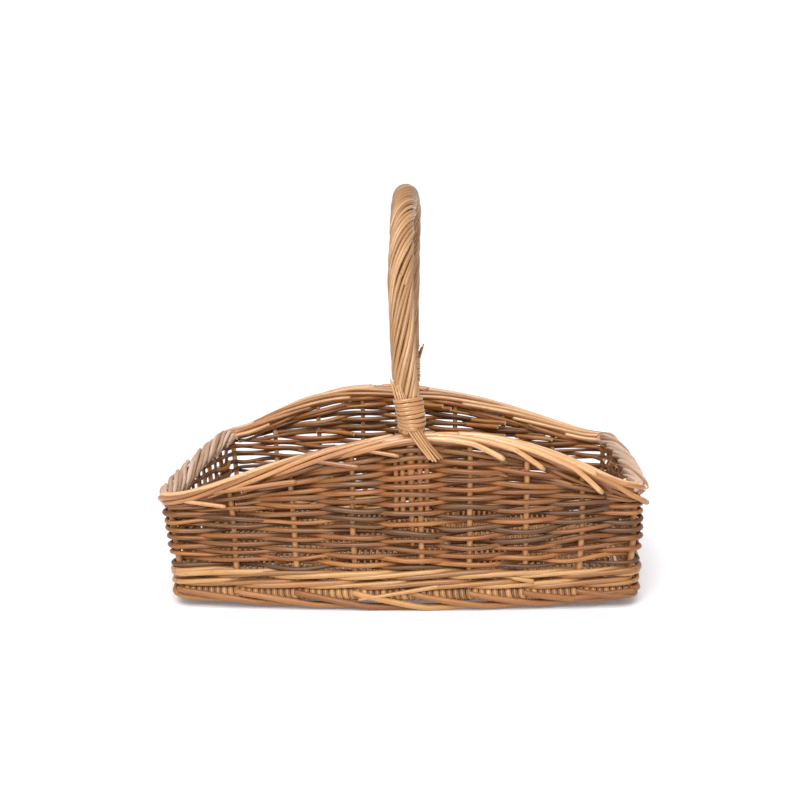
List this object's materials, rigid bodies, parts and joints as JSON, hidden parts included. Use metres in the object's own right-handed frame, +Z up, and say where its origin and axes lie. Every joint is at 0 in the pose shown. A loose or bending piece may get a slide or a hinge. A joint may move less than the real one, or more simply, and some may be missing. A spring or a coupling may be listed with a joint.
{
  "type": "woven market basket",
  "caption": "Rectangular woven willow basket with flared sides humped at the middle, a rolled border, a plaited foot and a fixed roped bow handle across it.",
  "frame": {"origin": "on the resting surface, under the middle of the basket", "axes": "+X along the basket's long side, +Y across it in the plane of the handle, from the near long wall to the far one, +Z up"},
  "size_m": [0.5196, 0.4236, 0.445],
  "materials": {
    "base_stick": "peeled willow stick, satin",
    "base_weave": "split and whole buff willow, satin",
    "stake": "buff willow rod, satin",
    "foot_border": "buff willow rod, satin",
    "wale": "buff willow rod, satin",
    "side_weave": "unpeeled brown willow rod, satin bark",
    "packing": "unpeeled brown willow rod, satin bark",
    "top_border": "thick buff willow rod, satin",
    "handle_roping": "thin buff willow rods, twisted, satin",
    "lashing": "split willow skein, satin to glossy"
  },
  "bodies": {
    "root": {"back_border": "top_border", "back_foot": "foot_border", "back_packing": "packing", "back_stake_1": "stake", "back_stake_2": "stake", "back_stake_3": "stake", "back_stake_4": "stake", "back_stake_5": "stake", "back_stake_6": "stake", "back_stake_7": "stake", "back_wale": "wale", "back_weave": "side_weave", "base_stick_1": "base_stick", "base_stick_2": "base_stick", "base_stick_3": "base_stick", "base_stick_4": "base_stick", "base_stick_5": "base_stick", "base_stick_6": "base_stick", "base_stick_7": "base_stick", "base_weave": "base_weave", "corner_stake_back_left": "stake", "corner_stake_back_right": "stake", "corner_stake_front_left": "stake", "corner_stake_front_right": "stake", "front_border": "top_border", "front_foot": "foot_border", "front_packing": "packing", "front_stake_1": "stake", "front_stake_2": "stake", "front_stake_3": "stake", "front_stake_4": "stake", "front_stake_5": "stake", "front_stake_6": "stake", "front_stake_7": "stake", "front_wale": "wale", "front_weave": "side_weave", "handle_bow": "base_stick", "handle_lashing_back": "lashing", "handle_lashing_front": "lashing", "handle_liners": "stake", "handle_roping": "handle_roping", "handle_tails": "lashing", "left_border": "top_border", "left_foot": "foot_border", "left_stake_1": "stake", "left_stake_2": "stake", "left_stake_3": "stake", "left_stake_4": "stake", "left_stake_5": "stake", "left_wale": "wale", "left_weave": "side_weave", "right_border": "top_border", "right_foot": "foot_border", "right_stake_1": "stake", "right_stake_2": "stake", "right_stake_3": "stake", "right_stake_4": "stake", "right_stake_5": "stake", "right_wale": "wale", "right_weave": "side_weave"}
  },
  "joints": []
}
